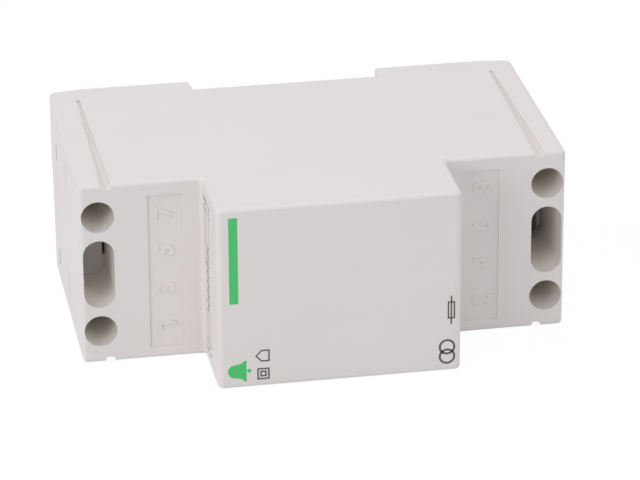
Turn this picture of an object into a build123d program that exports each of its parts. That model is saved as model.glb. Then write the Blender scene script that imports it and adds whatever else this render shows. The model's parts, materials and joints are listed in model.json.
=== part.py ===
"""Two-module bell transformer for a 35 mm rail, lying on its side face.

X runs along the length with the odd terminals at -X, -Y is the front and +Z is up.
"""

import os

from build123d import *

# Driving dimensions, in millimetres

# Envelope
length = 90.5  # over the two end walls
width = 35.5  # over the two side faces
depth = 63.0  # from the feet to the front of the nose
shoulder_depth = 47.6  # from the feet to the front of the shoulders
nose_length = 45.0

# Cover moulding
wall = 1.6
end_wall = 1.0
nose_round = 1.2
root_round = 0.9  # between nose and shoulder
shoulder_round = 0.8
edge_round = 0.8
heel_round = 1.3
heel_run = 6.0  # the feet fall away towards the ends
heel_drop = 0.9
relief_height = 20.6  # rear edge of the left end wall, set back below this height
relief_depth = 3.0  # at that height
relief_low_depth = 4.4  # at the underside
groove_inset = 5.0  # tapered groove in each side face, measured from the end
groove_start = 6.0  # from the feet
groove_width = 2.05
groove_depth = 1.0
groove_tip_width = 0.6
groove_tip_depth = 0.45
groove_floor = 0.7  # width of the floor over the width at the face
panel_inset = 12.5  # recess behind the terminal numbers, measured from the end
panel_length = 6.25
panel_low = 2.1  # above the underside
panel_height = 30.6
panel_sink = 0.35
rib_thickness = 1.4  # ribs behind the nose's front that press on the core
rib_height = 3.8

# Terminal places
row_count = 4  # places at each end
tower_margin = 0.35  # outer partition to the side of the base
screw_inset = 3.4  # screw axis from the end
hole_diameter = 6.1
slot_width = 5.8
guide_wall = 0.9
deck_depth = 24.4  # shoulder front to the deck that the clamps stand on
blind_depth = 15.3  # of the left slot, whose two places are empty
slit_width = 0.55  # slit in the floor of the left slot, along its inner side
slit_length = 5.7
entry_width = 4.2  # wire entry in the end wall
entry_height = 3.2
entry_flare = 0.7  # funnel around the entry

# Rail seat
rail_width = 35.0
rail_lip = 1.0
rail_play = 0.15
rail_recess = 4.25
recess_flare = 0.5
hook_play = 0.6
clip_play = 1.05
hook_grip = 1.6
hook_thickness = 1.4
hook_width = 24.0

# Base moulding
base_wall = 1.6
base_gap = 0.15
foot_inset = 1.0
partition = 0.9
tower_length = 10.0
rim_height = 5.0
latch_depth = 11.0  # latch window from the feet
latch_rows = (5.45, 27.35)  # heights of the two latches at each end
latch_width = 2.8
latch_height = 1.4
latch_gap = 0.2
tongue_thickness = 1.0
sill_lap = 1.2  # the sill stands this far behind the set-back edge of the left end wall

# Rail clip
clip_width = 14.4
clip_flange = 1.2
clip_flange_thickness = 1.4
clip_thickness = 2.9
clip_grip = 1.5
clip_end_gap = 0.35
slide_gap = 0.15
pry_slot_length = 6.0
pry_slot_width = 1.6
pry_slot_inset = 4.2
spring_window_width = 9.0
spring_length = 11.0
spring_post = 1.4
spring_post_inset = 8.05  # post from the end of the base
spring_strip = 0.5
spring_height = 1.8
spring_turns = 4
spring_swing = 3.2
spring_bend = 1.1

# Iron core and coil
core_length = 40.0
core_stack = 16.8
core_leg = 8.0  # outer legs and backs; the middle leg is twice as wide
core_seat = 3.6  # height of the cradle under the core
cradle_span = 30.0
cradle_width = 3.0
cradle_lip = 4.0
core_gap = 0.15
bobbin_gap = 0.15
bobbin_wall = 0.9
flange_gap = 0.4  # bobbin flange to the side faces
winding_inset = 0.9  # winding below the rim of the flange
winding_round = 3.0
tape_thickness = 0.3
tape_gap = 0.05
primary_length = 11.5  # of the mains chamber, along the leg

# Terminal pieces
clamp_length = 5.0
clamp_side = 0.7
clamp_front = 1.4
clamp_rear = 0.8
clamp_gap = 0.1
strip_thickness = 0.6
strip_gap = 0.35  # strip to the sides of the clamp
strip_reach = 2.2  # beyond the clamp
lug_depth = 4.5  # below the deck
guard_thickness = 0.8
guard_length = 4.4
wire_space = 2.4
thread_diameter = 3.4
thread_gap = 0.05
head_diameter = 5.0
head_height = 2.0
head_bevel = 0.4
head_gap = 0.3  # left under the head when the screw is all the way in
drive_width = 0.9
drive_depth = 1.1
lead_diameter = 1.3
lead_bend = 3.0
tap_offset = 3.0  # the tap leaves the coil this far in front of the other leads

# Places worked out from the driving dimensions
end_x = length / 2
nose_x = nose_length / 2
rear_y = depth / 2
front_y = -depth / 2
shoulder_y = rear_y - shoulder_depth
recess_y = rear_y - rail_recess
mid_z = width / 2
hook_x = rail_width / 2 + hook_play
clip_x = rail_width / 2 + clip_play

base_x = end_x - end_wall - base_gap
base_low = wall + base_gap
base_high = width - wall - base_gap
base_rear = rear_y - foot_inset
base_plate_y = recess_y - base_wall

terminal_pitch = (base_high - base_low - partition - 2 * tower_margin) / row_count
outer_rows = (0, row_count - 1)
screw_x = end_x - screw_inset
deck_y = shoulder_y + deck_depth
clamp_height = clamp_front + clamp_rear + strip_thickness + guard_thickness + wire_space + 2 * clamp_gap
clamp_y = deck_y - clamp_height
clamp_width = terminal_pitch - partition - 2 * clamp_gap
opening_half = clamp_width / 2 - clamp_side
strip_width = 2 * (opening_half - strip_gap)
guide_y = clamp_y - 2 * clamp_gap
strip_y = deck_y - clamp_rear - strip_thickness
tower_x = base_x - tower_length
lug_x = base_x - clamp_length - strip_reach
hole_radius = hole_diameter / 2

core_rear = base_plate_y - core_seat
core_front = front_y + wall + rib_height + core_gap
core_height = core_rear - core_front
core_mid_y = (core_rear + core_front) / 2
coil_end = core_length / 2 - core_leg
tube_y = core_leg + bobbin_gap + bobbin_wall  # half sizes of the bobbin's tube
tube_z = core_stack / 2 + bobbin_gap + bobbin_wall

# Numbered places that have a terminal, and the one that is a tap on the winding
fitted = (1, 7, 2, 6, 8)
tap = 6


def facing_front(y):
    """A sketch plane across the depth: local X is X and local Y is Z, and extrusion runs forwards."""
    return Plane(origin=(0, y, 0), x_dir=(1, 0, 0), z_dir=(0, -1, 0))


def facing_right(x):
    """A sketch plane across the length: local X is Y and local Y is Z, and extrusion runs to +X."""
    return Plane(origin=(x, 0, 0), x_dir=(0, 1, 0), z_dir=(1, 0, 0))


def panel(first, second, low, high, mode=Mode.ADD):
    """A rectangle between two edges on each axis, whichever edge comes first."""
    with Locations(((first + second) / 2, (low + high) / 2)):
        Rectangle(abs(second - first), abs(high - low), mode=mode)


def row_z(row):
    """Height of a row of terminal places, counted upwards from 0."""
    return mid_z + (row - (row_count - 1) / 2) * terminal_pitch


def rib_z(rib):
    """Height of a partition: each stands half a pitch below the row of the same count."""
    return row_z(rib) - terminal_pitch / 2


def place(number):
    """Side and height of a numbered place: odd numbers stand at -X, and both ends count upwards."""
    side = -1 if number % 2 else 1
    return side, row_z((number - 1) // 2)


os.makedirs("parts", exist_ok=True)

# Front cover: nose, shoulders, side faces and end walls in one moulding, open at the back
with BuildPart() as front_cover:
    corners = (
        ((-end_x, rear_y - heel_drop), heel_round),
        ((-end_x, shoulder_y), shoulder_round),
        ((-nose_x, shoulder_y), root_round),
        ((-nose_x, front_y), nose_round),
        ((nose_x, front_y), nose_round),
        ((nose_x, shoulder_y), root_round),
        ((end_x, shoulder_y), shoulder_round),
        ((end_x, rear_y - heel_drop), heel_round),
        ((end_x - heel_run, rear_y), 0),
        ((clip_x, rear_y), 0),
        ((clip_x - recess_flare, recess_y), 0),
        ((-hook_x + recess_flare, recess_y), 0),
        ((-hook_x, rear_y), 0),
        ((-end_x + heel_run, rear_y), 0),
    )
    with BuildSketch(Plane.XY):
        with BuildLine():
            FilletPolyline(*[point for point, _ in corners], radius=[r for _, r in corners], close=True)
        make_face()
    extrude(amount=width)
    outline = front_cover.edges().group_by(Axis.Z)
    fillet(outline[0] + outline[-1], edge_round)

    # The hollow, open towards the rail
    with BuildSketch(Plane.XY.offset(wall)):
        panel(-end_x + end_wall, end_x - end_wall, shoulder_y + wall, rear_y + wall)
        panel(-nose_x + wall, nose_x - wall, front_y + wall, shoulder_y + wall)
    extrude(amount=width - 2 * wall, mode=Mode.SUBTRACT)

    # Guide blocks behind the screwdriver holes, tied into the end walls
    guide_reach = hole_radius + guide_wall
    with BuildSketch(facing_front(guide_y)):
        for side in (-1, 1):
            panel(
                side * (screw_x - guide_reach),
                side * (end_x - end_wall / 2),
                row_z(outer_rows[0]) - guide_reach,
                row_z(outer_rows[1]) + guide_reach,
            )
    extrude(amount=guide_y - shoulder_y - wall / 2)

    # Ribs that hold the core towards the base
    with BuildSketch(facing_front(core_front - core_gap)):
        for side in (-1, 1):
            panel(
                side * cradle_span / 2 - rib_thickness / 2,
                side * cradle_span / 2 + rib_thickness / 2,
                mid_z - core_stack / 2,
                mid_z + core_stack / 2,
            )
    extrude(amount=rib_height + wall / 2)

    # A round hole over each outer terminal place, one slot over each inner pair; the left slot is blind
    for side, slot_end in ((-1, shoulder_y + blind_depth), (1, guide_y)):
        with BuildSketch(facing_front(guide_y)):
            with Locations(*[(side * screw_x, row_z(row)) for row in outer_rows]):
                Circle(hole_radius)
        extrude(amount=guide_y - shoulder_y + wall, mode=Mode.SUBTRACT)
        with BuildSketch(facing_front(slot_end)):
            with Locations((side * screw_x, mid_z)):
                SlotCenterToCenter(terminal_pitch, slot_width, rotation=90)
        extrude(amount=slot_end - shoulder_y + wall, mode=Mode.SUBTRACT)
    with BuildSketch(facing_front(guide_y)):
        slit_x = slot_width / 2 - screw_x
        panel(slit_x - slit_width, slit_x, mid_z - slit_length / 2, mid_z + slit_length / 2)
    extrude(amount=guide_y - shoulder_y - blind_depth + wall, mode=Mode.SUBTRACT)

    # Shallow panels for the terminal numbers
    with BuildSketch(facing_front(shoulder_y + panel_sink)):
        for side in (-1, 1):
            panel(
                side * (end_x - panel_inset),
                side * (end_x - panel_inset - panel_length),
                panel_low,
                panel_low + panel_height,
            )
    extrude(amount=panel_sink + wall, mode=Mode.SUBTRACT)

    # Grooves that widen towards the front in both side faces
    for side in (-1, 1):
        for face_z, inwards in ((width, -1), (0, 1)):
            groove_x = side * (end_x - groove_inset)
            for section_y, half, sunk in (
                (shoulder_y, groove_width / 2, groove_depth),
                (rear_y - groove_start, groove_tip_width / 2, groove_tip_depth),
            ):
                with BuildSketch(facing_front(section_y)):
                    with BuildLine():
                        Polyline(
                            (groove_x - half, face_z),
                            (groove_x - half * groove_floor, face_z + inwards * sunk),
                            (groove_x + half * groove_floor, face_z + inwards * sunk),
                            (groove_x + half, face_z),
                            (groove_x + half, face_z - inwards * wall),
                            (groove_x - half, face_z - inwards * wall),
                            close=True,
                        )
                    make_face()
            loft(mode=Mode.SUBTRACT)

    # A wire entry with a funnel at every fitted place, and the windows for the base's latches
    latch_y = rear_y - latch_depth
    entry_y = strip_y - entry_height / 2
    for number in fitted:
        side, place_z = place(number)
        for section_x, flare in ((end_x, entry_flare), (end_x - entry_flare, 0)):
            with BuildSketch(facing_right(side * section_x)):
                with Locations((entry_y, place_z)):
                    Rectangle(entry_height + 2 * flare, entry_width + 2 * flare)
        loft(mode=Mode.SUBTRACT)
        with BuildSketch(facing_right(side * end_x)):
            with Locations((entry_y, place_z)):
                Rectangle(entry_height, entry_width)
        extrude(amount=-side * (end_wall + base_gap), mode=Mode.SUBTRACT)
    for inner_x in (-end_x - end_wall, end_x - end_wall - base_gap):
        with BuildSketch(facing_right(inner_x)):
            with Locations(*[(latch_y, latch_z) for latch_z in latch_rows]):
                Rectangle(latch_height + 2 * latch_gap, latch_width + 2 * latch_gap)
        extrude(amount=2 * end_wall + base_gap, mode=Mode.SUBTRACT)

    # The rear edge of the left end wall is set back in its lower half
    with BuildSketch(facing_right(-end_x - end_wall)):
        with BuildLine():
            Polyline(
                (rear_y + wall, relief_height),
                (rear_y - relief_depth, relief_height),
                (rear_y - relief_low_depth, 0),
                (rear_y - relief_low_depth, -wall),
                (rear_y + wall, -wall),
                close=True,
            )
        make_face()
    extrude(amount=2 * end_wall, mode=Mode.SUBTRACT)

    # The clip comes out through the right end wall
    with BuildSketch(facing_right(end_x - 2 * end_wall)):
        panel(
            recess_y - slide_gap,
            rear_y + wall,
            mid_z - clip_width / 2 - 2 * slide_gap,
            mid_z + clip_width / 2 + 2 * slide_gap,
        )
    extrude(amount=4 * end_wall, mode=Mode.SUBTRACT)

front_cover.part.label = "front_cover"
export_step(front_cover.part, "parts/front_cover.step")

# Rear base: closes the back and carries the rail hook, the clip channel, the terminals and the core
channel_half = clip_width / 2 + slide_gap
housing_half = channel_half + base_wall
post_x = base_x - spring_post_inset
window_x = post_x - spring_length
with BuildPart() as rear_base:
    # Feet, steps and recess floor, one wall thick
    with BuildSketch(Plane.XY.offset(base_low)):
        with BuildLine():
            Polyline(
                (-base_x, base_rear),
                (-hook_x, base_rear),
                (-hook_x, recess_y),
                (clip_x, recess_y),
                (clip_x, base_rear),
                (base_x, base_rear),
                (base_x, base_rear - base_wall),
                (clip_x + base_wall, base_rear - base_wall),
                (clip_x + base_wall, base_plate_y),
                (-hook_x - base_wall, base_plate_y),
                (-hook_x - base_wall, base_rear - base_wall),
                (-base_x, base_rear - base_wall),
                close=True,
            )
        make_face()
    extrude(amount=base_high - base_low)

    # Fixed hook over the left lip of the rail
    hook_front = recess_y + rail_lip + rail_play
    hook_tip = -rail_width / 2 + hook_grip
    with BuildSketch(Plane.XY.offset(mid_z - hook_width / 2)):
        with BuildLine():
            Polyline(
                (-hook_x - base_wall / 2, hook_front),
                (hook_tip, hook_front),
                (hook_tip - hook_thickness / 2, hook_front + hook_thickness),
                (-hook_x - base_wall / 2, hook_front + hook_thickness),
                close=True,
            )
        make_face()
    extrude(amount=hook_width)

    # Housing of the rail clip, with a T-shaped channel and the post that its spring bears on
    with BuildSketch(Plane.XY.offset(mid_z - housing_half)):
        panel(clip_x, base_x, base_plate_y, base_rear)
    extrude(amount=2 * housing_half)
    with BuildSketch(facing_right(clip_x - base_wall)):
        flange_top = recess_y + clip_flange_thickness + 2 * slide_gap
        panel(recess_y, flange_top, mid_z - channel_half, mid_z + channel_half)
        neck_half = channel_half - clip_flange
        panel(recess_y, rear_y, mid_z - neck_half, mid_z + neck_half)
    extrude(amount=base_x - clip_x + 2 * base_wall, mode=Mode.SUBTRACT)
    post_half = spring_window_width / 2 - clip_flange
    with BuildSketch(facing_front(recess_y + clip_thickness)):
        panel(post_x, post_x + spring_post, mid_z - post_half, mid_z + post_half)
    extrude(amount=clip_thickness + base_wall / 2)

    # Terminal towers: partitions between the places and a deck with a slit for each contact
    for side in (-1, 1):
        for rib in range(row_count + 1):
            over_channel = side > 0 and abs(rib_z(rib) - mid_z) < housing_half
            foot = base_plate_y if over_channel else base_rear - base_wall
            with BuildSketch(facing_front(foot + base_wall / 2)):
                panel(side * tower_x, side * base_x, rib_z(rib) - partition / 2, rib_z(rib) + partition / 2)
            extrude(amount=foot + base_wall / 2 - guide_y - slide_gap)
        with BuildSketch(facing_front(deck_y + base_wall)):
            panel(side * tower_x, side * base_x, rib_z(0), rib_z(row_count))
            for row in range(row_count):
                panel(
                    side * (lug_x - clamp_gap),
                    side * (lug_x + strip_thickness + clamp_gap),
                    row_z(row) - strip_width / 2 - clamp_gap,
                    row_z(row) + strip_width / 2 + clamp_gap,
                    mode=Mode.SUBTRACT,
                )
        extrude(amount=base_wall)

    # Latch tongues, whose noses fill the windows in the end walls
    nose_front = latch_y - latch_height / 2
    nose_rear = latch_y + latch_height / 2
    for side in (-1, 1):
        for latch_z in latch_rows:
            with BuildSketch(Plane.XY.offset(latch_z - latch_width / 2)):
                with BuildLine():
                    Polyline(
                        (side * (base_x - tongue_thickness), base_rear - base_wall / 2),
                        (side * base_x, base_rear - base_wall / 2),
                        (side * base_x, nose_rear),
                        (side * (end_x - latch_gap), nose_rear),
                        (side * (end_x - latch_gap), latch_y),
                        (side * base_x, nose_front),
                        (side * base_x, nose_front - tongue_thickness),
                        (side * (base_x - tongue_thickness), nose_front - tongue_thickness),
                        close=True,
                    )
                make_face()
            extrude(amount=latch_width)

    # Sill that closes the gap at the set-back edge of the left end wall
    with BuildSketch(facing_right(-base_x)):
        panel(rear_y - relief_low_depth - sill_lap, base_rear, base_low, relief_height + sill_lap)
    extrude(amount=tongue_thickness)

    # Cradle under the core
    cheek_half = core_stack / 2 + core_gap
    for side in (-1, 1):
        with BuildSketch(facing_right(side * cradle_span / 2 - cradle_width / 2)):
            rail_half = cheek_half + base_wall
            panel(core_rear - cradle_lip, base_plate_y + base_wall / 2, mid_z - rail_half, mid_z + rail_half)
            panel(
                core_rear - 2 * cradle_lip,
                core_rear,
                mid_z - cheek_half,
                mid_z + cheek_half,
                mode=Mode.SUBTRACT,
            )
        extrude(amount=cradle_width)

    # Rims that locate the base between the side faces
    with BuildSketch(facing_front(base_plate_y + base_wall / 2)):
        panel(-hook_x, clip_x, base_low, base_low + partition)
        panel(-hook_x, clip_x, base_high - partition, base_high)
    extrude(amount=rim_height + base_wall / 2)

rear_base.part.label = "rear_base"
export_step(rear_base.part, "parts/rear_base.step")

# Rail clip: slides out through the right end wall to let go of the rail
clip_front = recess_y + slide_gap
clip_rear = clip_front + clip_thickness
clip_end = end_x - clip_end_gap
tongue_front = recess_y + rail_lip + rail_play
tongue_tip = rail_width / 2 - clip_grip
with BuildPart() as rail_clip:
    body_half = clip_width / 2 - clip_flange
    with BuildSketch(facing_right(clip_x + slide_gap)):
        panel(clip_front, clip_front + clip_flange_thickness, mid_z - clip_width / 2, mid_z + clip_width / 2)
        panel(clip_front, clip_rear, mid_z - body_half, mid_z + body_half)
    extrude(amount=clip_end - clip_x - slide_gap)

    # Tongue over the right lip of the rail, bevelled to ride over it
    bevel = clip_rear - tongue_front - rail_lip / 2
    with BuildSketch(Plane.XY.offset(mid_z - body_half)):
        with BuildLine():
            Polyline(
                (tongue_tip, tongue_front),
                (clip_x + clip_grip, tongue_front),
                (clip_x + clip_grip, clip_rear),
                (tongue_tip + bevel, clip_rear),
                (tongue_tip, clip_rear - bevel),
                close=True,
            )
        make_face()
    extrude(amount=2 * body_half)

    # Window for the spring and slot for a screwdriver
    with BuildSketch(facing_front(rear_y)):
        window_half = spring_window_width / 2
        panel(window_x, post_x + spring_post + slide_gap, mid_z - window_half, mid_z + window_half)
        with Locations((clip_end - pry_slot_inset, mid_z)):
            Rectangle(pry_slot_width, pry_slot_length)
    extrude(amount=rail_recess + base_wall, mode=Mode.SUBTRACT)

rail_clip.part.label = "rail_clip"
export_step(rail_clip.part, "parts/rail_clip.step")

# Clip spring: a bent steel strip between the clip's window and the post
with BuildPart() as clip_spring:
    first_leg = window_x + slide_gap + spring_strip / 2
    leg_pitch = (post_x - window_x - 2 * slide_gap - spring_strip) / spring_turns
    bends = []
    for leg in range(spring_turns + 1):
        leg_x = first_leg + leg * leg_pitch
        swing = spring_swing if leg % 2 else -spring_swing
        bends += [(leg_x, mid_z + swing), (leg_x, mid_z - swing)]
    spring_front = recess_y + (clip_thickness - spring_height) / 2
    with BuildSketch(facing_front(spring_front + spring_height)):
        with BuildLine() as strip_line:
            FilletPolyline(*bends, radius=spring_bend)
        trace(strip_line.line, line_width=spring_strip)
    extrude(amount=spring_height)

clip_spring.part.label = "clip_spring"
export_step(clip_spring.part, "parts/clip_spring.step")

# Iron core: a stack of E sheets closed by a stack of I sheets
core_low = mid_z - core_stack / 2
with BuildPart() as core_e_stack:
    with BuildSketch(Plane.XY.offset(core_low)):
        panel(-core_length / 2, coil_end, core_front, core_rear)
        for side in (-1, 1):
            panel(
                -coil_end,
                coil_end,
                core_mid_y + side * core_leg,
                core_mid_y + side * (core_height / 2 - core_leg),
                mode=Mode.SUBTRACT,
            )
    extrude(amount=core_stack)

core_e_stack.part.label = "core_e_stack"
export_step(core_e_stack.part, "parts/core_e_stack.step")

with BuildPart() as core_i_stack:
    with BuildSketch(Plane.XY.offset(core_low)):
        panel(coil_end, core_length / 2, core_front, core_rear)
    extrude(amount=core_stack)

core_i_stack.part.label = "core_i_stack"
export_step(core_i_stack.part, "parts/core_i_stack.step")

# Coil: the leads leave the windings through slits in the bobbin's outer flanges
bobbin_end = coil_end - bobbin_gap
coil_in = bobbin_end - bobbin_wall
split_x = -coil_in + primary_length
flange_y = core_height / 2 - core_leg - bobbin_gap
flange_z = mid_z - wall - flange_gap
winding_y = flange_y - winding_inset
winding_z = flange_z - winding_inset
lead_lug_y = deck_y + base_wall + lug_depth / 2


def lead_start(number):
    """Where a lead leaves its winding: in line with its lug, or beside the core for the tap."""
    if number == tap:
        return lead_lug_y - tap_offset, row_z(outer_rows[1])
    return lead_lug_y, place(number)[1]


with BuildPart() as bobbin:
    with BuildSketch(facing_right(-bobbin_end)):
        with Locations((core_mid_y, mid_z)):
            Rectangle(2 * tube_y, 2 * tube_z)
    extrude(amount=2 * bobbin_end)
    for flange_x in (-bobbin_end, split_x, coil_in):
        with BuildSketch(facing_right(flange_x)):
            with Locations((core_mid_y, mid_z)):
                Rectangle(2 * flange_y, 2 * flange_z)
        extrude(amount=bobbin_wall)
    with BuildSketch(facing_right(-bobbin_end)):
        with Locations((core_mid_y, mid_z)):
            Rectangle(2 * (tube_y - bobbin_wall), 2 * (tube_z - bobbin_wall))
    extrude(amount=2 * bobbin_end, mode=Mode.SUBTRACT)
    slit_half = lead_diameter / 2 + bobbin_gap
    for number in fitted:
        start_y, start_z = lead_start(number)
        outwards = 1 if start_z > mid_z else -1
        with BuildSketch(facing_right(-bobbin_end if place(number)[0] < 0 else coil_in)):
            panel(
                start_y - slit_half,
                start_y + slit_half,
                start_z - outwards * slit_half,
                mid_z + outwards * (flange_z + flange_gap),
            )
        extrude(amount=bobbin_wall, mode=Mode.SUBTRACT)

bobbin.part.label = "bobbin"
export_step(bobbin.part, "parts/bobbin.step")


def coil_ring(start, stop, inner_y, inner_z, inner_round, grow):
    """One layer of the coil, from its inner half sizes outwards by grow, between two flanges."""
    with BuildPart() as ring:
        with BuildSketch(facing_right(start)):
            with Locations((core_mid_y, mid_z)):
                RectangleRounded(2 * (inner_y + grow[0]), 2 * (inner_z + grow[1]), inner_round + grow[2])
                if inner_round > 0:
                    RectangleRounded(2 * inner_y, 2 * inner_z, inner_round, mode=Mode.SUBTRACT)
                else:
                    Rectangle(2 * inner_y, 2 * inner_z, mode=Mode.SUBTRACT)
        extrude(amount=stop - start)
    return ring


chambers = {"primary": (-coil_in, split_x), "secondary": (split_x + bobbin_wall, coil_in)}
for name, (start, stop) in chambers.items():
    winding = coil_ring(
        start, stop, tube_y, tube_z, 0, (winding_y - tube_y, winding_z - tube_z, winding_round)
    )
    winding.part.label = f"{name}_winding"
    export_step(winding.part, f"parts/{name}_winding.step")
    tape = coil_ring(
        start,
        stop,
        winding_y + tape_gap,
        winding_z + tape_gap,
        winding_round + tape_gap,
        (tape_thickness, tape_thickness, tape_thickness),
    )
    tape.part.label = f"{name}_tape"
    export_step(tape.part, f"parts/{name}_tape.step")

# Terminals: the screw turns in the clamp and pushes its wire guard towards the contact strip
guard_y = clamp_y + clamp_front + clamp_gap
head_y = clamp_y - head_gap - wire_space
lug_end = deck_y + base_wall + lug_depth
for number in fitted:
    side, place_z = place(number)
    with BuildPart() as clamp:
        with BuildSketch(facing_right(min(side * base_x, side * (base_x - clamp_length)))):
            panel(clamp_y, deck_y, place_z - clamp_width / 2, place_z + clamp_width / 2)
            panel(
                clamp_y + clamp_front,
                deck_y - clamp_rear,
                place_z - opening_half,
                place_z + opening_half,
                mode=Mode.SUBTRACT,
            )
        extrude(amount=clamp_length)
        with BuildSketch(facing_front(clamp_y + clamp_front)):
            with Locations((side * screw_x, place_z)):
                Circle(thread_diameter / 2 + thread_gap)
        extrude(amount=clamp_front, mode=Mode.SUBTRACT)
    clamp.part.label = f"terminal_{number}_clamp"
    export_step(clamp.part, f"parts/terminal_{number}_clamp.step")

    with BuildPart() as contact:
        with BuildSketch(Plane.XY.offset(place_z - strip_width / 2)):
            with BuildLine():
                FilletPolyline(
                    (side * base_x, strip_y),
                    (side * lug_x, strip_y),
                    (side * lug_x, lug_end),
                    (side * (lug_x + strip_thickness), lug_end),
                    (side * (lug_x + strip_thickness), strip_y + strip_thickness),
                    (side * base_x, strip_y + strip_thickness),
                    radius=[0, strip_thickness, 0, 0, 0, 0],
                    close=True,
                )
            make_face()
        extrude(amount=strip_width)
    contact.part.label = f"terminal_{number}_contact"
    export_step(contact.part, f"parts/terminal_{number}_contact.step")

    with BuildPart() as guard:
        guard_half = opening_half - clamp_gap
        with BuildSketch(facing_front(guard_y + guard_thickness)):
            with Locations((side * screw_x, place_z)):
                Rectangle(guard_length, 2 * guard_half)
        extrude(amount=guard_thickness)
    guard.part.label = f"terminal_{number}_wire_guard"
    export_step(guard.part, f"parts/terminal_{number}_wire_guard.step")

    with BuildPart() as screw:
        with BuildSketch(Plane(origin=(side * screw_x, 0, place_z))):
            with BuildLine():
                Polyline(
                    (0, head_y - head_height),
                    (head_diameter / 2 - head_bevel, head_y - head_height),
                    (head_diameter / 2, head_y - head_height + head_bevel),
                    (head_diameter / 2, head_y),
                    (thread_diameter / 2, head_y),
                    (thread_diameter / 2, guard_y - thread_gap),
                    (0, guard_y - thread_gap),
                    close=True,
                )
            make_face()
        revolve(axis=Axis((side * screw_x, 0, place_z), (0, 1, 0)))
        with BuildSketch(facing_front(head_y - head_height + drive_depth)):
            with Locations((side * screw_x, place_z)):
                Rectangle(head_diameter + drive_width, drive_width)
        extrude(amount=drive_depth, mode=Mode.SUBTRACT)
    screw.part.label = f"terminal_{number}_screw"
    export_step(screw.part, f"parts/terminal_{number}_screw.step")

# Leads: from a winding, past the core, to the lug under the deck
bend_x = core_length / 2 + lead_bend
for number in fitted:
    side, place_z = place(number)
    start_y, start_z = lead_start(number)
    with BuildPart() as lead:
        with BuildLine() as route:
            if number == tap:
                Polyline(
                    (side * coil_in, start_y, start_z),
                    (side * bend_x, start_y, start_z),
                    (side * (lug_x - lead_bend), lead_lug_y, place_z),
                    (side * lug_x, lead_lug_y, place_z),
                )
            else:
                Line((side * coil_in, start_y, start_z), (side * lug_x, lead_lug_y, place_z))
        with BuildSketch(Plane(origin=route.line @ 0, z_dir=route.line % 0)):
            Circle(lead_diameter / 2)
        sweep(transition=Transition.RIGHT)
    lead.part.label = f"lead_{number}"
    export_step(lead.part, f"parts/lead_{number}.step")
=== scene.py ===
import json
import math

import bmesh
import bpy
from mathutils import Matrix, Vector


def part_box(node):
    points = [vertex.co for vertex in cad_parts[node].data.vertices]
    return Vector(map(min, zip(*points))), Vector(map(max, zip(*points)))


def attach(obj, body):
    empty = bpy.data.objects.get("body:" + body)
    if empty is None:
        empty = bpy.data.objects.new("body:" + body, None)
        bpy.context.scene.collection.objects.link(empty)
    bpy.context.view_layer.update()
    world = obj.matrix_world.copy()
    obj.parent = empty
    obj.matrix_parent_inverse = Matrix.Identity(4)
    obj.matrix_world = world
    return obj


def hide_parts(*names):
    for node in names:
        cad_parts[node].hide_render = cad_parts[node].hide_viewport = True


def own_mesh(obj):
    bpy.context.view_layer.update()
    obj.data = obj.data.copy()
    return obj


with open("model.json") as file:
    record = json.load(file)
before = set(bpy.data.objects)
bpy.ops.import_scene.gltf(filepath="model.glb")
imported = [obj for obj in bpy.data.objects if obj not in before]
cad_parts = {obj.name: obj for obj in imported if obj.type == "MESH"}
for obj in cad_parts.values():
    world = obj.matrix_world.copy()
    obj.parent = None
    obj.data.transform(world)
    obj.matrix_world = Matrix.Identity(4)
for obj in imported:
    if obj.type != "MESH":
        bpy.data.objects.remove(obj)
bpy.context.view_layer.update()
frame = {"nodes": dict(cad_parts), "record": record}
nodes = frame["nodes"]
scene = bpy.context.scene
mm = 0.001
print("frame loaded:", len(nodes), "CAD nodes")


def linearColour(code):  # sRGB hex to linear RGBA
    channels = [int(code[i:i + 2], 16) / 255 for i in (1, 3, 5)]
    return [c / 12.92 if c <= 0.04045 else ((c + 0.055) / 1.055) ** 2.4 for c in channels] + [1.0]


def addNode(tree, kind, settings=None, inputs=None):  # one node; inputs are values or sockets to link from
    node = tree.nodes.new(kind)
    for name, value in (settings or {}).items():
        setattr(node, name, value)
    for name, value in (inputs or {}).items():
        if isinstance(value, bpy.types.NodeSocket):
            tree.links.new(value, node.inputs[name])
        else:
            node.inputs[name].default_value = value
    return node


def newMaterial(name):
    material = bpy.data.materials.new(name)
    material.use_nodes = True
    tree = material.node_tree
    tree.nodes.clear()
    place = addNode(tree, "ShaderNodeTexCoord").outputs["Object"]
    return material, tree, place


mixSockets = {"share": 0, "first": 6, "second": 7, "result": 2}  # of the Mix node, when it mixes colours


def toneAndSheen(tree, toneShare, sheenShare, look):  # a colour and a roughness that vary with two patterns
    tone = addNode(tree, "ShaderNodeMix", {"data_type": "RGBA"}, {
        mixSockets["share"]: toneShare, mixSockets["first"]: linearColour(look["darkTone"]),
        mixSockets["second"]: linearColour(look["lightTone"])})
    rough = addNode(tree, "ShaderNodeMapRange", None, {
        "Value": sheenShare, "To Min": look["roughLow"], "To Max": look["roughHigh"]})
    return tone.outputs[mixSockets["result"]], rough.outputs["Result"]


def finishMaterial(tree, inputs):
    shader = addNode(tree, "ShaderNodeBsdfPrincipled", None, inputs)
    addNode(tree, "ShaderNodeOutputMaterial", None, {"Surface": shader.outputs["BSDF"]})


# how far each noise breaks up, and how high its bumps stand
cloudNoise = {"Detail": 3.0, "Roughness": 0.5}
grainNoise = {"Detail": 2.0, "Roughness": 0.6}
markNoise = {"Scale": 1.0, "Detail": 2.0, "Roughness": 0.55}
speckNoise = {"Detail": 2.0}
grainHeight = 0.02 * mm
markHeight = 0.01 * mm
bandRelief = {"strength": 0.5, "share": 0.25}  # share of a band's thickness
waveBand = math.pi / 10  # the wave texture's bands at scale 1, in metres


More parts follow.
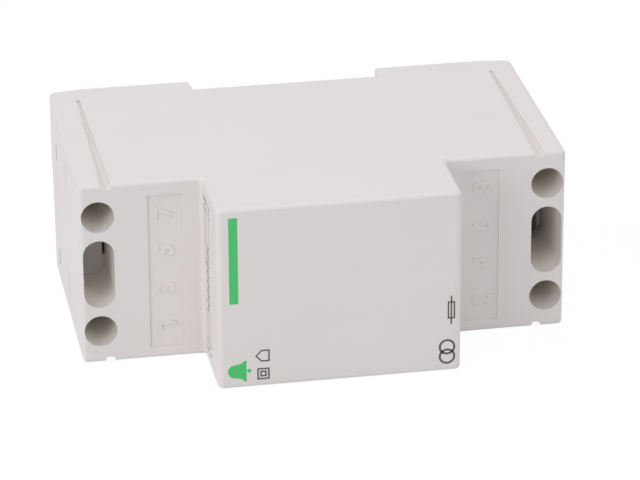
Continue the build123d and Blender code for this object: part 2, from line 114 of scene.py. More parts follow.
# moulded plastics: a spark-eroded mould gives a fine even grain and a soft sheen; the grain is drawn coarser
# than the real one, which is under 0.1 mm, so that it shows
def mouldedPlastic(name, look):
    material, tree, place = newMaterial(name)
    cloud = addNode(tree, "ShaderNodeTexNoise", None, {
        "Vector": place, "Scale": 1 / (look["cloudMm"] * mm), **cloudNoise})
    grain = addNode(tree, "ShaderNodeTexNoise", None, {
        "Vector": place, "Scale": 1 / (look["grainMm"] * mm), **grainNoise})
    colour, rough = toneAndSheen(tree, cloud.outputs["Fac"], grain.outputs["Fac"], look)
    bump = addNode(tree, "ShaderNodeBump", None, {
        "Height": grain.outputs["Fac"], "Strength": look["grainDepth"], "Distance": grainHeight})
    if "paintedLightTone" in look:  # painted light: within the holes and slots the plastic is painted a paler, warmer tone, which stands in for light that passes through the thin walls and fills the recesses
        spot = addNode(tree, "ShaderNodeSeparateXYZ", None, {"Vector": place})
        share = addNode(tree, "ShaderNodeMapRange", None, {
            "Value": spot.outputs["Y"],
            "From Min": look["paintedLightFrom"] * mm, "From Max": look["paintedLightFull"] * mm})
        paintedLightShare = share.outputs["Result"]
        for axis, (low, high) in look["paintedLightBox"].items():
            between = addNode(tree, "ShaderNodeMath", {"operation": "COMPARE"}, {
                0: spot.outputs[axis], 1: (low + high) / 2 * mm, 2: (high - low) / 2 * mm})
            both = addNode(tree, "ShaderNodeMath", {"operation": "MULTIPLY"}, {
                0: paintedLightShare, 1: between.outputs["Value"]})
            paintedLightShare = both.outputs["Value"]
        paintedLightMix = addNode(tree, "ShaderNodeMix", {"data_type": "RGBA"}, {
            mixSockets["share"]: paintedLightShare, mixSockets["first"]: colour,
            mixSockets["second"]: linearColour(look["paintedLightTone"])})
        colour = paintedLightMix.outputs[mixSockets["result"]]
    finishMaterial(tree, {"Base Color": colour, "Roughness": rough,
                          "Normal": bump.outputs["Normal"], "IOR": look["ior"]})
    return material


# metals: plated, rolled or drawn, with fine marks along one axis
def workedMetal(name, look):
    material, tree, place = newMaterial(name)
    stretch = addNode(tree, "ShaderNodeMapping", None, {
        "Vector": place, "Scale": [1 / (size * mm) for size in look["marksMm"]]})
    marks = addNode(tree, "ShaderNodeTexNoise", None, {"Vector": stretch.outputs["Vector"], **markNoise})
    tone, rough = toneAndSheen(tree, marks.outputs["Fac"], marks.outputs["Fac"], look)
    bump = addNode(tree, "ShaderNodeBump", None, {
        "Height": marks.outputs["Fac"], "Strength": look["markDepth"], "Distance": markHeight})
    finishMaterial(tree, {"Base Color": tone, "Metallic": look["metallic"], "Roughness": rough,
                          "Normal": bump.outputs["Normal"]})
    return material


# layered stacks and windings: bands of one thickness along an axis, with a dark joint between
def bandedStack(name, look):
    material, tree, place = newMaterial(name)
    bands = addNode(tree, "ShaderNodeTexWave",
                    {"wave_type": "BANDS", "bands_direction": look["axis"], "wave_profile": "SIN"},
                    {"Vector": place, "Scale": waveBand / (look["bandMm"] * mm), "Distortion": 0.0})
    speck = addNode(tree, "ShaderNodeTexNoise", None, {
        "Vector": place, "Scale": 1 / (look["speckMm"] * mm), **speckNoise})
    tone, rough = toneAndSheen(tree, bands.outputs["Fac"], speck.outputs["Fac"], look)
    bump = addNode(tree, "ShaderNodeBump", None, {
        "Height": bands.outputs["Fac"], "Strength": bandRelief["strength"],
        "Distance": look["bandMm"] * bandRelief["share"] * mm})
    finishMaterial(tree, {"Base Color": tone, "Metallic": look["metallic"], "Roughness": rough,
                          "Normal": bump.outputs["Normal"]})
    return material


# pad-printed ink: thin, slightly glossy, with an uneven film
def padInk(name, look):
    material, tree, place = newMaterial(name)
    film = addNode(tree, "ShaderNodeTexNoise", None, {
        "Vector": place, "Scale": 1 / (look["filmMm"] * mm), **speckNoise})
    tone, rough = toneAndSheen(tree, film.outputs["Fac"], film.outputs["Fac"], look)
    finishMaterial(tree, {"Base Color": tone, "Roughness": rough, "IOR": look["ior"]})
    return material


# polycarbonate blend: an even, faintly warm pale grey; the inner walls, in mm along each axis, are painted
# paler and warmer, as painted light standing in for light that passes through the plastic
lightGreyShell = mouldedPlastic("light_grey_polycarbonate", {
    "lightTone": "#eae5e4", "darkTone": "#e5e0df", "cloudMm": 22, "grainMm": 0.3, "grainDepth": 0.12,
    "roughLow": 0.44, "roughHigh": 0.60, "ior": 1.58,
    "paintedLightTone": "#f8f2eb", "paintedLightFrom": -15.6, "paintedLightFull": -12.6,
    "paintedLightBox": {"X": (-45.0, 45.0), "Y": (-15.6, -1.0), "Z": (2.4, 33.1)}})
# the same plastic a shade darker, so that the seam to the cover shows
baseShell = mouldedPlastic("grey_base_polycarbonate", {
    "lightTone": "#d8d4d2", "darkTone": "#d2cecc", "cloudMm": 18, "grainMm": 0.3, "grainDepth": 0.12,
    "roughLow": 0.46, "roughHigh": 0.62, "ior": 1.58})
# acetal resin: dark, with a slightly waxy gloss
clipAcetal = mouldedPlastic("dark_acetal", {
    "lightTone": "#57585a", "darkTone": "#505153", "cloudMm": 9, "grainMm": 0.22, "grainDepth": 0.08,
    "roughLow": 0.34, "roughHigh": 0.48, "ior": 1.48})
# undyed nylon: creamy, a little glossy
bobbinNylon = mouldedPlastic("natural_nylon", {
    "lightTone": "#e8e2d3", "darkTone": "#dfd8c6", "cloudMm": 8, "grainMm": 0.25, "grainDepth": 0.10,
    "roughLow": 0.36, "roughHigh": 0.52, "ior": 1.53})
# drawn vinyl sleeve: smooth, with a broad highlight; brown on the mains side
brownInsulation = mouldedPlastic("brown_insulation_vinyl", {
    "lightTone": "#6a4630", "darkTone": "#5e3c29", "cloudMm": 3, "grainMm": 0.2, "grainDepth": 0.06,
    "roughLow": 0.30, "roughHigh": 0.42, "ior": 1.53})
# the same sleeve in off-white on the bell side
whiteInsulation = mouldedPlastic("white_insulation_vinyl", {
    "lightTone": "#e4e2dc", "darkTone": "#dad7d0", "cloudMm": 3, "grainMm": 0.2, "grainDepth": 0.06,
    "roughLow": 0.30, "roughHigh": 0.42, "ior": 1.53})
# polyester film: glossy, wound with soft wrinkles
coilTape = mouldedPlastic("yellow_polyester_tape", {
    "lightTone": "#e0b23a", "darkTone": "#cf9f2e", "cloudMm": 4, "grainMm": 1.2, "grainDepth": 0.30,
    "roughLow": 0.18, "roughHigh": 0.30, "ior": 1.64})
# zinc plating: pale and cool, faintly mottled
zincPlate = workedMetal("zinc_plated_steel", {
    "lightTone": "#d3d5d6", "darkTone": "#b9bcbf", "marksMm": (0.5, 0.5, 0.5), "markDepth": 0.08,
    "roughLow": 0.26, "roughHigh": 0.42, "metallic": 1.0})
# rolled brass: warm, with fine lines from the rolls
contactBrass = workedMetal("bare_brass_strip", {
    "lightTone": "#d7b56c", "darkTone": "#c29c52", "marksMm": (3.0, 3.0, 0.15), "markDepth": 0.10,
    "roughLow": 0.24, "roughHigh": 0.40, "metallic": 1.0})
# rolled spring steel: darker than zinc, with fine lines along the strip
springStrip = workedMetal("rolled_spring_steel", {
    "lightTone": "#b4b7ba", "darkTone": "#94979b", "marksMm": (2.0, 0.12, 2.0), "markDepth": 0.10,
    "roughLow": 0.22, "roughHigh": 0.36, "metallic": 1.0})
# 0.5 mm sheets with a dull oxide skin: fine dark stripes
coreSheets = bandedStack("silicon_steel_sheets", {
    "lightTone": "#74777b", "darkTone": "#3c3e41", "axis": "Z", "bandMm": 0.5, "speckMm": 0.6,
    "roughLow": 0.42, "roughHigh": 0.60, "metallic": 0.8})
# enamelled copper: red-brown turns, drawn coarser than the real 0.2 mm wire, so that they show
copperTurns = bandedStack("enamelled_copper_wire", {
    "lightTone": "#b4602f", "darkTone": "#5a2a14", "axis": "X", "bandMm": 0.4, "speckMm": 0.5,
    "roughLow": 0.24, "roughHigh": 0.36, "metallic": 0.6})
# fresh green, the one strong colour on the cover
greenInk = padInk("green_pad_ink", {
    "lightTone": "#4ecb76", "darkTone": "#46c26e", "filmMm": 0.35,
    "roughLow": 0.34, "roughHigh": 0.50, "ior": 1.5})
# dark warm grey, for thin lines
greyInk = padInk("grey_pad_ink", {
    "lightTone": "#625d5f", "darkTone": "#575355", "filmMm": 0.35,
    "roughLow": 0.34, "roughHigh": 0.50, "ior": 1.5})

slotMaterials = {
    "cover_plastic": lightGreyShell, "base_plastic": baseShell, "clip_plastic": clipAcetal,
    "spring_steel": springStrip, "core_steel": coreSheets, "bobbin_nylon": bobbinNylon,
    "enamelled_wire": copperTurns, "polyester_tape": coilTape, "zinc_steel": zincPlate,
    "contact_brass": contactBrass, "primary_lead": brownInsulation, "secondary_lead": whiteInsulation}
for part in frame["record"]["subparts"]:
    for slot in nodes[part["node"]].material_slots:
        slot.material = slotMaterials[part["material_slot"]]
print("materials set on the CAD nodes")

coverLow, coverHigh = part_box("front_cover")
noseFront = coverLow.y
midHeight = (coverLow.z + coverHigh.z) / 2


def addPiece(name, mesh, material, body="root"):
    piece = bpy.data.objects.new(name, mesh)
    scene.collection.objects.link(piece)
    mesh.materials.clear()
    mesh.materials.append(material)
    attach(piece, body)
    return piece


def bakeObject(source):  # evaluated object to a plain mesh, source removed
    bpy.context.view_layer.update()
    mesh = bpy.data.meshes.new_from_object(source.evaluated_get(bpy.context.evaluated_depsgraph_get()))
    data = source.data
    store = bpy.data.curves if isinstance(data, bpy.types.Curve) else bpy.data.meshes
    bpy.data.objects.remove(source)
    store.remove(data)
    return mesh


weld = {"merge": 1e-7, "sliver": 1e-8}  # metres: points that become one, edges too short to keep


def joinMeshes(name, meshes):
    work = bmesh.new()
    for mesh in meshes:
        work.from_mesh(mesh)
        bpy.data.meshes.remove(mesh)
    bmesh.ops.remove_doubles(work, verts=work.verts, dist=weld["merge"])
    bmesh.ops.dissolve_degenerate(work, dist=weld["sliver"], edges=work.edges)
    bmesh.ops.recalc_face_normals(work, faces=work.faces)
    joined = bpy.data.meshes.new(name)
    work.to_mesh(joined)
    work.free()
    return joined


# reading directions: print runs up the nose (+Z) with its head to the odd terminals (-X)
frontReading = Matrix(((0, -1, 0), (0, 0, -1), (1, 0, 0))).to_4x4()
# on the nose's left wall it runs down (-Z), with its head to the front (-Y)
leftReading = Matrix(((0, 0, -1), (0, -1, 0), (-1, 0, 0))).to_4x4()


def newShapeTree(name, inputs):  # Geometry Nodes tree with named inputs, and the sockets that give them
    tree = bpy.data.node_groups.new(name, "GeometryNodeTree")
    for label, kind in inputs.items():
        tree.interface.new_socket(label, in_out="INPUT", socket_type="NodeSocket" + kind)
    tree.interface.new_socket("Shape", in_out="OUTPUT", socket_type="NodeSocketGeometry")
    return tree, addNode(tree, "NodeGroupInput").outputs


def endShapeTree(tree, shape, finish):
    real = addNode(tree, "GeometryNodeRealizeInstances", None, {"Geometry": shape})
    painted = addNode(tree, "GeometryNodeSetMaterial", None, {
        "Geometry": real.outputs["Geometry"], "Material": finish})
    addNode(tree, "NodeGroupOutput", None, {"Shape": painted.outputs["Geometry"]})


def growShape(tree, values):  # runs a tree with its inputs set by identifier and keeps the plain mesh
    holder = bpy.data.objects.new("holder", bpy.data.meshes.new("holder"))
    scene.collection.objects.link(holder)
    modifier = holder.modifiers.new("shape", "NODES")
    modifier.node_group = tree
    for item in tree.interface.items_tree:
        if item.in_out == "INPUT":
            modifier[item.identifier] = values[item.name]
    return bakeObject(holder)


# spring of the rail clip: a strip bent to and fro across the clip's window
clipSpring = {"turns": 4, "strip": 0.5 * mm, "bend": 1.1 * mm, "bendSteps": 10}

springTree, given = newShapeTree("bentStrip", {
    "Turns": "Int", "Pitch": "Float", "Swing": "Float", "Strip": "Float", "Height": "Float",
    "Bend": "Float", "Bend Steps": "Int", "Finish": "Material"})
# two corners to each leg, and one leg more than the turns
corners = addNode(springTree, "ShaderNodeMath", {"operation": "MULTIPLY_ADD"}, {
    0: given["Turns"], 1: 2.0, 2: 2.0})
cornerLine = addNode(springTree, "GeometryNodeMeshLine", {"mode": "OFFSET"}, {
    "Count": corners.outputs["Value"]})
corner = addNode(springTree, "GeometryNodeInputIndex")
halfCorner = addNode(springTree, "ShaderNodeMath", {"operation": "MULTIPLY"}, {
    0: corner.outputs["Index"], 1: 0.5})
leg = addNode(springTree, "ShaderNodeMath", {"operation": "FLOOR"}, {0: halfCorner.outputs["Value"]})
# the corners' sides go - + + - - +, which is the number of crossings so far, odd or even
nextHalf = addNode(springTree, "ShaderNodeMath", {"operation": "ADD"}, {
    0: halfCorner.outputs["Value"], 1: 0.5})
crossing = addNode(springTree, "ShaderNodeMath", {"operation": "FLOOR"}, {0: nextHalf.outputs["Value"]})
onSide = addNode(springTree, "ShaderNodeMath", {"operation": "MODULO"}, {
    0: crossing.outputs["Value"], 1: 2.0})
sideSign = addNode(springTree, "ShaderNodeMath", {"operation": "MULTIPLY_ADD"}, {
    0: onSide.outputs["Value"], 1: 2.0, 2: -1.0})
cornerX = addNode(springTree, "ShaderNodeMath", {"operation": "MULTIPLY"}, {
    0: leg.outputs["Value"], 1: given["Pitch"]})
cornerY = addNode(springTree, "ShaderNodeMath", {"operation": "MULTIPLY"}, {
    0: sideSign.outputs["Value"], 1: given["Swing"]})
cornerPlace = addNode(springTree, "ShaderNodeCombineXYZ", None, {
    "X": cornerX.outputs["Value"], "Y": cornerY.outputs["Value"]})
zigzag = addNode(springTree, "GeometryNodeSetPosition", None, {
    "Geometry": cornerLine.outputs["Mesh"], "Position": cornerPlace.outputs["Vector"]})
bentLine = addNode(springTree, "GeometryNodeMeshToCurve", None, {"Mesh": zigzag.outputs["Geometry"]})
rounded = addNode(springTree, "GeometryNodeFilletCurve", {"mode": "POLY"}, {
    "Curve": bentLine.outputs["Curve"], "Count": given["Bend Steps"], "Radius": given["Bend"]})
upright = addNode(springTree, "GeometryNodeSetCurveNormal", {"mode": "Z_UP"}, {
    "Curve": rounded.outputs["Curve"]})
stripSection = addNode(springTree, "GeometryNodeCurvePrimitiveQuadrilateral", None, {
    "Width": given["Strip"], "Height": given["Height"]})
strip = addNode(springTree, "GeometryNodeCurveToMesh", None, {
    "Curve": upright.outputs["Curve"], "Profile Curve": stripSection.outputs["Curve"], "Fill Caps": True})
endShapeTree(springTree, strip.outputs["Mesh"], given["Finish"])

springLow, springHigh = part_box("clip_spring")
springLength = springHigh.x - springLow.x
springMesh = growShape(springTree, {
    "Turns": clipSpring["turns"], "Pitch": (springLength - clipSpring["strip"]) / clipSpring["turns"],
    "Swing": (springHigh.z - springLow.z) / 2 - clipSpring["strip"] / 2, "Strip": clipSpring["strip"],
    "Height": springHigh.y - springLow.y, "Bend": clipSpring["bend"], "Bend Steps": clipSpring["bendSteps"],
    "Finish": springStrip})
springStart = Vector((springLow.x + clipSpring["strip"] / 2, (springLow.y + springHigh.y) / 2,
                      (springLow.z + springHigh.z) / 2))
# the tree swings the strip along Y, and in the clip it swings along Z
springMesh.transform(Matrix.Translation(springStart) @ Matrix.Rotation(math.pi / 2, 4, "X"))
springMesh = joinMeshes("bent_strip_spring", [springMesh])
spring = addPiece("bent_strip_spring", springMesh, springStrip)
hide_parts("clip_spring")
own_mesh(spring)
print("clip spring bent:", len(spring.data.polygons), "faces")


def outlineCurve(outlines):  # closed outlines as a filled flat curve
    curve = bpy.data.curves.new("outline", "CURVE")
    curve.dimensions = "2D"
    curve.fill_mode = "BOTH"
    for outline in outlines:
        spline = curve.splines.new("POLY")
        spline.points.add(len(outline) - 1)
        for point, (u, v) in zip(spline.points, outline):
            point.co = (u, v, 0, 1)
        spline.use_cyclic_u = True
    return curve


def curveMesh(curve):
    shape = bpy.data.objects.new("shape", curve)
    scene.collection.objects.link(shape)
    return bakeObject(shape)


# raised terminal numbers in the two sunk panels, moulded with the cover
terminalNumbers = {
    "height": 3.45 * mm, "centreX": 29.65 * mm, "pitch": 7.6 * mm, "rise": 0.24 * mm, "sunk": 0.05 * mm,
    "bevel": 0.14 * mm, "swell": 0.12 * mm, "panelY": -15.75 * mm,
    "rows": {1: 0, 3: 1, 5: 2, 7: 3, 2: 0, 4: 1, 6: 2, 8: 3}}
numberSteps = {"curve": 6, "bevel": 2}  # how finely a figure's curves and edges are cut
# the built-in font's 1 is a bare stroke, and this one has a flag; sizes are shares of the height
flaggedOne = [(0.14, 0.0), (0.27, 0.0), (0.27, 1.0), (0.15, 1.0), (-0.13, 0.80), (-0.13, 0.66), (0.14, 0.83)]


def numberMesh(number, height, thickness, bevel, swell):  # a figure, centred, swollen beyond its outline
    if number == 1:
        curve = outlineCurve([[(u * height, v * height) for u, v in flaggedOne]])
    else:
        curve = bpy.data.curves.new("number", "FONT")
        curve.body = str(number)
        ruler = bpy.data.objects.new("ruler", curve)
        scene.collection.objects.link(ruler)
        bpy.context.view_layer.update()
        curve.size = height / ruler.dimensions.y
        bpy.data.objects.remove(ruler)
    curve.resolution_u = numberSteps["curve"]
    curve.extrude = thickness / 2 - bevel
    curve.bevel_depth = bevel
    curve.bevel_resolution = numberSteps["bevel"]
    curve.offset = swell - bevel
    mesh = curveMesh(curve)
    xs = [v.co.x for v in mesh.vertices]
    ys = [v.co.y for v in mesh.vertices]
    mesh.transform(Matrix.Translation((-(min(xs) + max(xs)) / 2, -(min(ys) + max(ys)) / 2, 0)))
    return mesh


digitMeshes = []
digitThickness = terminalNumbers["rise"] + terminalNumbers["sunk"]
digitY = terminalNumbers["panelY"] + terminalNumbers["sunk"] - digitThickness / 2
middleRow = max(terminalNumbers["rows"].values()) / 2
for number, row in terminalNumbers["rows"].items():
    side = -1 if number % 2 else 1
    digit = numberMesh(number, terminalNumbers["height"], digitThickness, terminalNumbers["bevel"],
                       terminalNumbers["swell"])
    place = Vector((side * terminalNumbers["centreX"], digitY,
                    midHeight + (row - middleRow) * terminalNumbers["pitch"]))
    digit.transform(Matrix.Translation(place) @ frontReading)
    digitMeshes.append(digit)
addPiece("terminal_numbers", joinMeshes("terminal_numbers", digitMeshes), lightGreyShell)
print("terminal numbers raised")

inkFilm = {"thickness": 0.02 * mm, "proud": 0.008 * mm}
inkBed = inkFilm["thickness"] / 2 - inkFilm["proud"]  # middle of the film, measured into the wall


def printedShape(outlines):  # flat outlines given the ink's thickness
    curve = outlineCurve(outlines)
    curve.extrude = inkFilm["thickness"] / 2
    return curveMesh(curve)


def circleOutline(u, v, radius, steps=40):
    angles = [2 * math.pi * k / steps for k in range(steps)]
    return [(u + radius * math.cos(angle), v + radius * math.sin(angle)) for angle in angles]


def ringOutlines(u, v, radius, line):
    return [circleOutline(u, v, radius + line / 2), circleOutline(u, v, radius - line / 2)]


def boxOutline(halfRun, halfTall):
    return [(-halfRun, -halfTall), (halfRun, -halfTall), (halfRun, halfTall), (-halfRun, halfTall)]


def lineOutline(start, end, line):
    direction = (Vector(end) - Vector(start)).normalized()
    across = Vector((-direction.y, direction.x)) * line / 2
    tip = direction * line / 2
    first = Vector(start) - tip
    last = Vector(end) + tip
    return [first + across, first - across, last - across, last + across]


def onNose(mesh, x, z):  # lays a print on the nose's front
    mesh.transform(Matrix.Translation((x, noseFront + inkBed, z)) @ frontReading)
    return mesh


# green stripe beside the left edge of the nose, and a small bell below it
greenPrint = {
    "stripeLeft": -20.25 * mm, "stripeRight": -18.6 * mm, "stripeLow": 16.9 * mm, "stripeHigh": 33.86 * mm,
    "bellHeight": 4.4 * mm, "bellX": -18.7 * mm, "bellZ": 3.4 * mm}
# half of a bell, from its lip up to where the dome starts; sizes are shares of its height
bellSide = [(0.48, -0.32), (0.48, -0.25), (0.37, -0.13), (0.32, 0.02)]
bellDome = {"radius": 0.3, "height": 0.16, "steps": 16}
bellClapper = {"radius": 0.09, "drop": -0.43, "steps": 20}
domeAngles = [math.pi * k / bellDome["steps"] for k in range(bellDome["steps"] + 1)]
dome = [(bellDome["radius"] * math.cos(angle), bellDome["height"] + bellDome["radius"] * math.sin(angle))
        for angle in domeAngles]
bellOutline = bellSide + dome + [(-u, v) for u, v in reversed(bellSide)]
clapperOutline = circleOutline(0, bellClapper["drop"], bellClapper["radius"], bellClapper["steps"])
bellMesh = printedShape([[(u * greenPrint["bellHeight"], v * greenPrint["bellHeight"]) for u, v in outline]
                         for outline in (bellOutline, clapperOutline)])
stripeMesh = printedShape([boxOutline((greenPrint["stripeHigh"] - greenPrint["stripeLow"]) / 2,
                                      (greenPrint["stripeRight"] - greenPrint["stripeLeft"]) / 2)])
greenMeshes = [onNose(bellMesh, greenPrint["bellX"], greenPrint["bellZ"]),
               onNose(stripeMesh, (greenPrint["stripeLeft"] + greenPrint["stripeRight"]) / 2,
                      (greenPrint["stripeLow"] + greenPrint["stripeHigh"]) / 2)]
addPiece("green_print", joinMeshes("green_print", greenMeshes), greenInk)

# grey line symbols: double insulation and indoor use on the left, transformer and fuse on the right;
# innerSquare, eaves and ridge are shares of the half sizes
greyPrint = {
    "line": 0.3 * mm,
    "squareHalf": 1.15 * mm, "innerSquare": 0.52, "squareX": -14.2 * mm, "squareZ": 2.6 * mm,
    "houseHalf": 1.2 * mm, "eaves": 0.3, "ridge": 1.25, "houseX": -14.2 * mm, "houseZ": 6.2 * mm,
    "ringRadius": 1.35 * mm, "ringStep": 1.9 * mm, "ringLine": 0.42 * mm,
    "ringX": 19.85 * mm, "ringZ": 3.0 * mm,
    "fuseHalf": 1.75 * mm, "fuseTall": 0.7 * mm, "fuseReach": 2.7 * mm,
    "fuseX": 20.6 * mm, "fuseZ": 12.3 * mm}
line = greyPrint["line"]
squareHalves = (greyPrint["squareHalf"], greyPrint["squareHalf"] * greyPrint["innerSquare"])
squares = [boxOutline(half, half) for outer in squareHalves for half in (outer, outer - line)]
houses = []
for half in (greyPrint["houseHalf"], greyPrint["houseHalf"] - line):
    eaves = half * greyPrint["eaves"]
    ridge = half * greyPrint["ridge"]
    houses.append([(-half, -half), (half, -half), (half, eaves), (0, ridge), (-half, eaves)])
fuseBoxes = [boxOutline(greyPrint["fuseHalf"] - step, greyPrint["fuseTall"] - step) for step in (0, line)]
fuseLine = lineOutline((-greyPrint["fuseReach"], 0), (greyPrint["fuseReach"], 0), line)
greyMeshes = [onNose(printedShape(squares), greyPrint["squareX"], greyPrint["squareZ"]),
              onNose(printedShape(houses), greyPrint["houseX"], greyPrint["houseZ"]),
              onNose(printedShape(fuseBoxes), greyPrint["fuseX"], greyPrint["fuseZ"]),
              onNose(printedShape([fuseLine]), greyPrint["fuseX"], greyPrint["fuseZ"])]
for ringCentre in (0, greyPrint["ringStep"]):
    ring = printedShape(ringOutlines(ringCentre, 0, greyPrint["ringRadius"], greyPrint["ringLine"]))
    greyMeshes.append(onNose(ring, greyPrint["ringX"], greyPrint["ringZ"]))
addPiece("grey_symbols", joinMeshes("grey_symbols", greyMeshes), greyInk)
print("nose printed")

# wiring diagram on the nose's left wall: mains coil, core and tapped bell coil, in thin lines
wiringPrint = {
    "wallX": -22.5 * mm, "y": -20.9 * mm, "z": 17.5 * mm, "line": 0.22 * mm,
    "loopRadius": 0.95 * mm, "loopPoints": 14, "mainsLoops": 7, "bellLoops": 7,
    "mainsRow": 1.7 * mm, "coreRows": (0.25 * mm, -0.45 * mm), "bellRow": -1.3 * mm,
    "tapRow": -3.2 * mm, "tapAt": -1.9 * mm, "leadEnd": 12.4 * mm, "ringRadius": 0.55 * mm,
    "numberHeight": 1.7 * mm, "numberGap": 1.7 * mm, "numberSwell": 0.03 * mm}

loopTree, given = newShapeTree("coilLoops", {
    "Loops": "Int", "Radius": "Float", "Points": "Int", "Start": "Float", "Sweep": "Float",
    "Line": "Float", "Film": "Float", "Finish": "Material"})
loopStep = addNode(loopTree, "ShaderNodeMath", {"operation": "MULTIPLY"}, {0: given["Radius"], 1: 2.0})
loopOffset = addNode(loopTree, "ShaderNodeCombineXYZ", None, {"X": loopStep.outputs["Value"]})
# half the row to the left of its middle
backSteps = addNode(loopTree, "ShaderNodeMath", {"operation": "SUBTRACT"}, {0: 1.0, 1: given["Loops"]})
rowStart = addNode(loopTree, "ShaderNodeMath", {"operation": "MULTIPLY"}, {
    0: backSteps.outputs["Value"], 1: given["Radius"]})
rowPlace = addNode(loopTree, "ShaderNodeCombineXYZ", None, {"X": rowStart.outputs["Value"]})
loopSpots = addNode(loopTree, "GeometryNodeMeshLine", {"mode": "OFFSET"}, {
    "Count": given["Loops"], "Start Location": rowPlace.outputs["Vector"],
    "Offset": loopOffset.outputs["Vector"]})
arc = addNode(loopTree, "GeometryNodeCurveArc", {"mode": "RADIUS"}, {
    "Resolution": given["Points"], "Radius": given["Radius"],
    "Start Angle": given["Start"], "Sweep Angle": given["Sweep"]})
flatArc = addNode(loopTree, "GeometryNodeSetCurveNormal", {"mode": "Z_UP"}, {"Curve": arc.outputs["Curve"]})
lineSection = addNode(loopTree, "GeometryNodeCurvePrimitiveQuadrilateral", None, {
    "Width": given["Line"], "Height": given["Film"]})
loop = addNode(loopTree, "GeometryNodeCurveToMesh", None, {
    "Curve": flatArc.outputs["Curve"], "Profile Curve": lineSection.outputs["Curve"], "Fill Caps": True})
loops = addNode(loopTree, "GeometryNodeInstanceOnPoints", None, {
    "Points": loopSpots.outputs["Mesh"], "Instance": loop.outputs["Mesh"]})
endShapeTree(loopTree, loops.outputs["Instances"], given["Finish"])

wiringMeshes = []
wiringLine = wiringPrint["line"]
leadEnd = wiringPrint["leadEnd"]
for row, count, startAngle in ((wiringPrint["mainsRow"], wiringPrint["mainsLoops"], math.pi),
                               (wiringPrint["bellRow"], wiringPrint["bellLoops"], 0.0)):
    coil = growShape(loopTree, {
        "Loops": count, "Radius": wiringPrint["loopRadius"], "Points": wiringPrint["loopPoints"],
        "Start": startAngle, "Sweep": math.pi, "Line": wiringLine, "Film": inkFilm["thickness"],
        "Finish": greyInk})
    coil.transform(Matrix.Translation((0, row, 0)))
    wiringMeshes.append(coil)

# the tap turns from the bell coil to its own row
tapLeft = wiringPrint["tapAt"] - wiringLine / 2
tapRight = wiringPrint["tapAt"] + wiringLine / 2
tapLow = wiringPrint["tapRow"] - wiringLine / 2
tapHigh = wiringPrint["tapRow"] + wiringLine / 2
wiringMeshes.append(printedShape([[
    (tapLeft, wiringPrint["bellRow"]), (tapRight, wiringPrint["bellRow"]), (tapRight, tapLow),
    (-leadEnd, tapLow), (-leadEnd, tapHigh), (tapLeft, tapHigh)]]))

coilEnds = {"mainsRow": wiringPrint["mainsLoops"] * wiringPrint["loopRadius"],
            "bellRow": wiringPrint["bellLoops"] * wiringPrint["loopRadius"]}
wires = [((-coilEnds["mainsRow"], row), (coilEnds["mainsRow"], row)) for row in wiringPrint["coreRows"]]
leadRings = []  # the rings at the ends of the leads: number, side, row
for number, side, rowName in ((1, 1, "mainsRow"), (7, -1, "mainsRow"), (2, 1, "bellRow"), (8, -1, "bellRow")):
    row = wiringPrint[rowName]
    wires.append(((side * coilEnds[rowName], row), (side * leadEnd, row)))
    leadRings.append((number, side, row))
leadRings.append((6, -1, wiringPrint["tapRow"]))
for start, end in wires:
    wiringMeshes.append(printedShape([lineOutline(start, end, wiringLine)]))
for number, side, row in leadRings:
    ringCentre = side * (leadEnd + wiringPrint["ringRadius"])
    wiringMeshes.append(printedShape(ringOutlines(ringCentre, row, wiringPrint["ringRadius"], wiringLine)))
    figure = numberMesh(number, wiringPrint["numberHeight"], inkFilm["thickness"], 0.0,
                        wiringPrint["numberSwell"])
    figure.transform(Matrix.Translation((ringCentre + side * wiringPrint["numberGap"], row, 0)))
    wiringMeshes.append(figure)
wiringPlace = Vector((wiringPrint["wallX"] + inkBed, wiringPrint["y"], wiringPrint["z"]))
for mesh in wiringMeshes:
    mesh.transform(Matrix.Translation(wiringPlace) @ leftReading)
addPiece("wiring_print", joinMeshes("wiring_print", wiringMeshes), greyInk)
print("wiring diagram printed")

# soft studio: white floor, even surroundings and six large lamps, the brightest to the left;
# a lamp has its place in metres and its power in watts
studio = {
    "worldStrength": 0.272, "white": "#ffffff", "seenWhite": 1.0,
    "floorSize": 6.0, "floorDrop": 0.05 * mm, "floorTone": "#f4f4f4", "floorGlow": 0.88, "floorWhite": 1.04,
    "lampSize": 0.6, "aim": (0, 0, 0.018),
    "lamps": {"left": ((-0.766, 0.0, 0.661), 1.98), "leftFront": ((-0.72, -0.604, 0.36), 2.15),
              "front": ((0.0, -0.707, 0.725), 1.18), "highFront": ((0.0, -0.309, 0.969), 1.38),
              "overhead": ((0.0, 0.5, 0.884), 1.33), "right": ((0.819, 0.0, 0.592), 2.0)}}


def seenShare(tree):  # 1 for rays that show a surface to the camera, by gloss or glass too
    rays = addNode(tree, "ShaderNodeLightPath").outputs
    share = rays["Is Camera Ray"]
    for kind in ("Is Glossy Ray", "Is Transmission Ray"):
        either = addNode(tree, "ShaderNodeMath", {"operation": "MAXIMUM"}, {0: share, 1: rays[kind]})
        share = either.outputs["Value"]
    return share


world = bpy.data.worlds.new("studio")
scene.world = world
world.use_nodes = True
worldTree = world.node_tree
worldTree.nodes.clear()
strength = addNode(worldTree, "ShaderNodeMapRange", None, {
    "Value": seenShare(worldTree), "To Min": studio["worldStrength"], "To Max": studio["seenWhite"]})
glow = addNode(worldTree, "ShaderNodeBackground", None, {
    "Color": linearColour(studio["white"]), "Strength": strength.outputs["Result"]})
addNode(worldTree, "ShaderNodeOutputWorld", None, {"Surface": glow.outputs["Background"]})

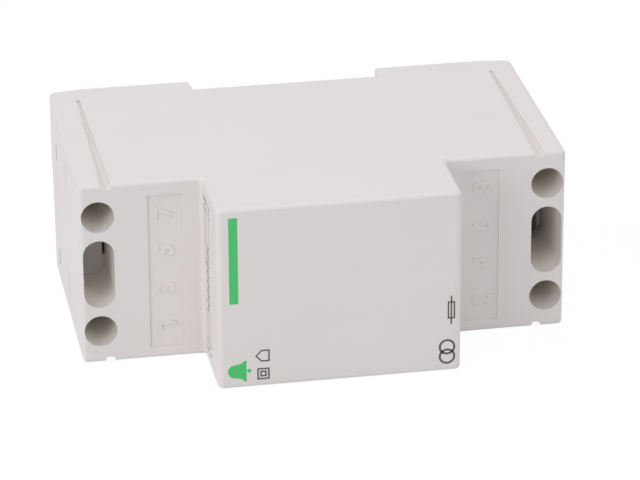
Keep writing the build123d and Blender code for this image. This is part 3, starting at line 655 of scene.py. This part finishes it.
# white paper: matt, and mostly glowing where it is seen, so that only a soft shadow is left
floorMaterial = bpy.data.materials.new("white_studio_floor")
floorMaterial.use_nodes = True
floorTree = floorMaterial.node_tree
floorTree.nodes.clear()
floorShare = addNode(floorTree, "ShaderNodeMath", {"operation": "MULTIPLY"}, {
    0: seenShare(floorTree), 1: studio["floorGlow"]})
floorPaper = addNode(floorTree, "ShaderNodeBsdfDiffuse", None, {"Color": linearColour(studio["floorTone"])})
floorWhite = addNode(floorTree, "ShaderNodeEmission", None, {
    "Color": linearColour(studio["white"]), "Strength": studio["floorWhite"]})
floorMix = addNode(floorTree, "ShaderNodeMixShader", None, {
    0: floorShare.outputs["Value"], 1: floorPaper.outputs["BSDF"], 2: floorWhite.outputs["Emission"]})
addNode(floorTree, "ShaderNodeOutputMaterial", None, {"Surface": floorMix.outputs["Shader"]})

floorMesh = bpy.data.meshes.new("floor")
floorHalf = studio["floorSize"] / 2
floorCorners = [(u, v, -studio["floorDrop"]) for u, v in boxOutline(floorHalf, floorHalf)]
floorMesh.from_pydata(floorCorners, [], [(0, 1, 2, 3)])
floorMesh.materials.append(floorMaterial)
floor = bpy.data.objects.new("floor", floorMesh)
scene.collection.objects.link(floor)

for lampName, (lampPlace, lampPower) in studio["lamps"].items():
    lampData = bpy.data.lights.new(lampName, "AREA")
    lampData.shape = "DISK"
    lampData.size = studio["lampSize"]
    lampData.energy = lampPower
    lamp = bpy.data.objects.new(lampName, lampData)
    scene.collection.objects.link(lamp)
    lamp.location = lampPlace
    lamp.rotation_euler = (Vector(studio["aim"]) - lamp.location).to_track_quat("-Z", "Y").to_euler()

# camera solved from the photograph's edges; turn in degrees, lens and sensor in mm, near in metres
view = {"place": (-0.11131, -0.64143, 0.30629), "turn": (65.827, 0.3193, -10.1562),
        "lens": 212.9, "sensor": 36, "near": 0.01}
cameraData = bpy.data.cameras.new("camera")
cameraData.lens = view["lens"]
cameraData.sensor_width = view["sensor"]
cameraData.clip_start = view["near"]
camera = bpy.data.objects.new("camera", cameraData)
scene.collection.objects.link(camera)
camera.location = view["place"]
camera.rotation_euler = [math.radians(angle) for angle in view["turn"]]
scene.camera = camera
scene.view_settings.view_transform = "Standard"
print("studio and camera set")
